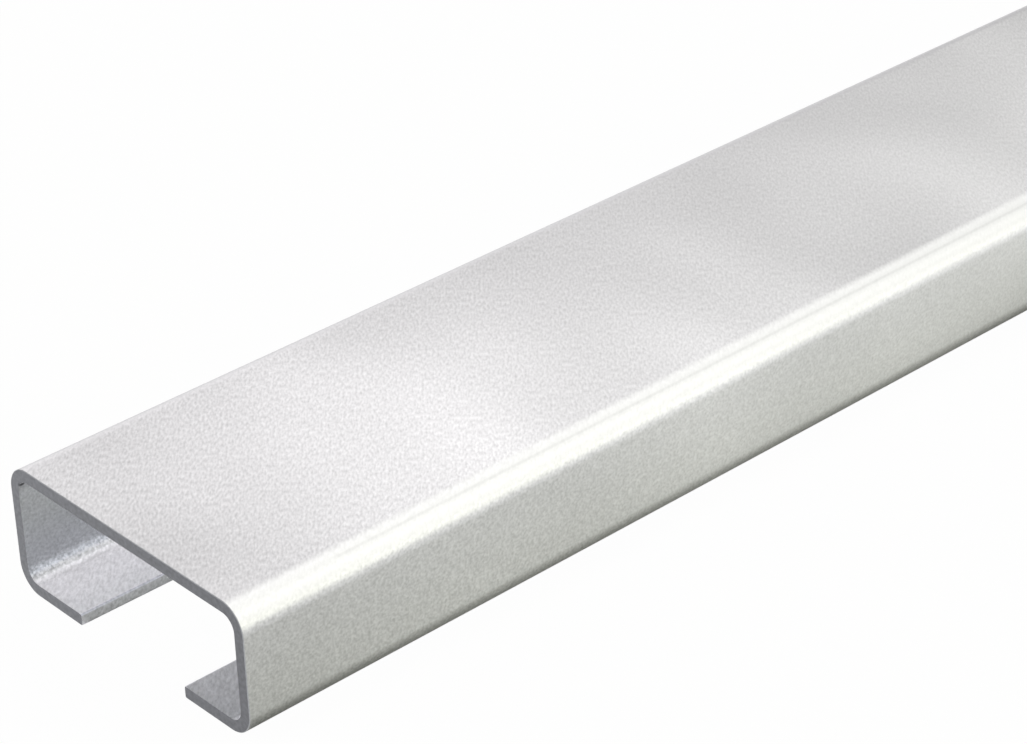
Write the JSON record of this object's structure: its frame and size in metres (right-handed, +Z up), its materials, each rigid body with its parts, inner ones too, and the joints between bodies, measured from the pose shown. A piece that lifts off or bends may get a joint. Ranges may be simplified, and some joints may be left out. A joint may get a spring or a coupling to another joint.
{
  "type": "lipped aluminium channel",
  "caption": "Length of lipped channel folded from aluminium strip: a flat web, a flange down each side and a lip turned in at each foot, with an open slot between the lips.",
  "frame": {"origin": "on the floor, under the middle of the bar", "axes": "+Y along the bar, +X across it, +Z up from the feet of the lips to the web"},
  "size_m": [0.04, 1, 0.016],
  "materials": {
    "mill_aluminium": "plain mill finish, matt with a fine pebbled grain"
  },
  "bodies": {
    "root": {"lipped_channel": "mill_aluminium"}
  },
  "joints": []
}
